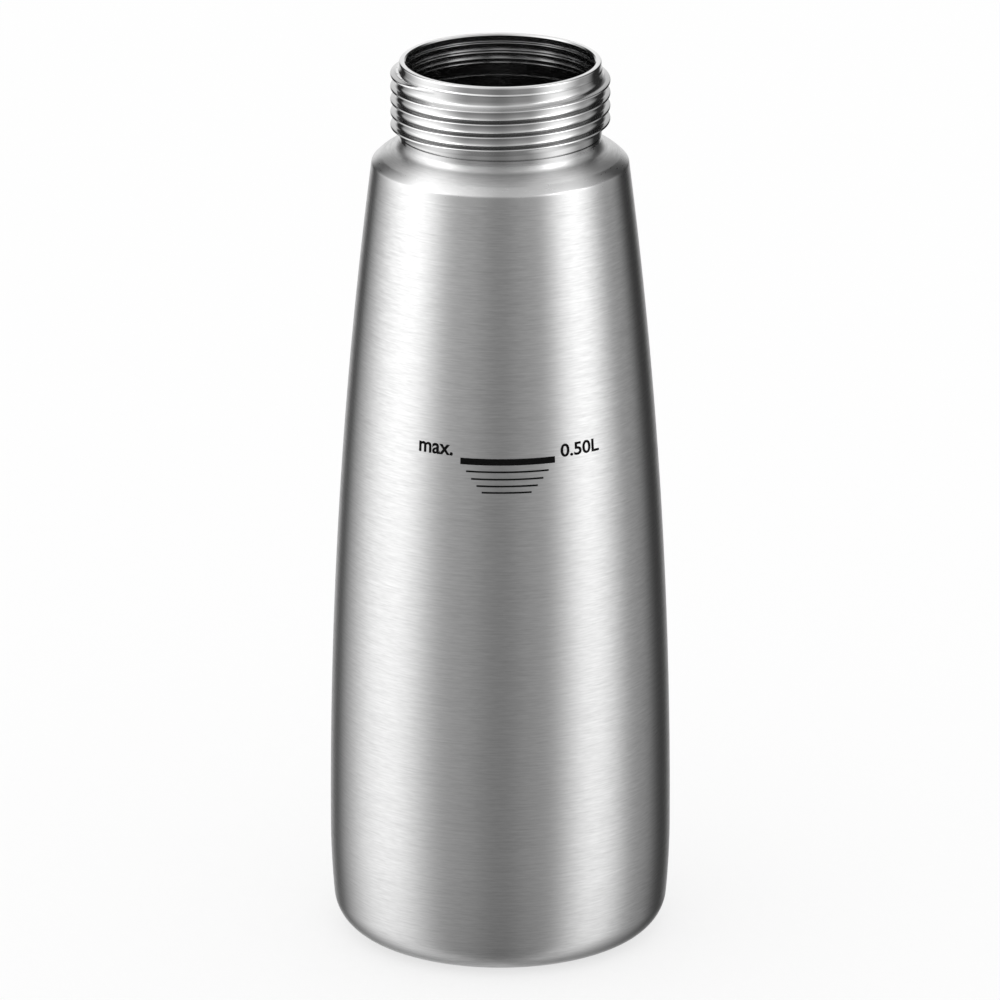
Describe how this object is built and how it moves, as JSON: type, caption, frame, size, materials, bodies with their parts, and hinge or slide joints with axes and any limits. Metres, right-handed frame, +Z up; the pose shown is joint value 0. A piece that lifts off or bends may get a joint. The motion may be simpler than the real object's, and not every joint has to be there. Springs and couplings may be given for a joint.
{
  "type": "cream whipper bottle",
  "caption": "Tapered stainless steel bottle with a rounded foot, crowned shoulder and open threaded neck, for a head that whips cream.",
  "frame": {"origin": "middle of the foot ring, in the plane the bottle stands on", "axes": "+Z up along the bottle's axis, towards the open mouth; -Y is the front, where the fill mark is printed; +X to the right of the front"},
  "size_m": [0.079, 0.079, 0.2083],
  "materials": {
    "brushed_body": "fine lines round the bottle",
    "brushed_shoulder": "satin, fine lines round the neck",
    "turned_neck": "bright turned",
    "ground_seam": "ground flush"
  },
  "bodies": {
    "root": {"body_cup": "brushed_body", "shoulder_dome": "brushed_shoulder", "shoulder_weld": "ground_seam", "neck_ring": "turned_neck", "neck_weld": "ground_seam"}
  },
  "joints": []
}
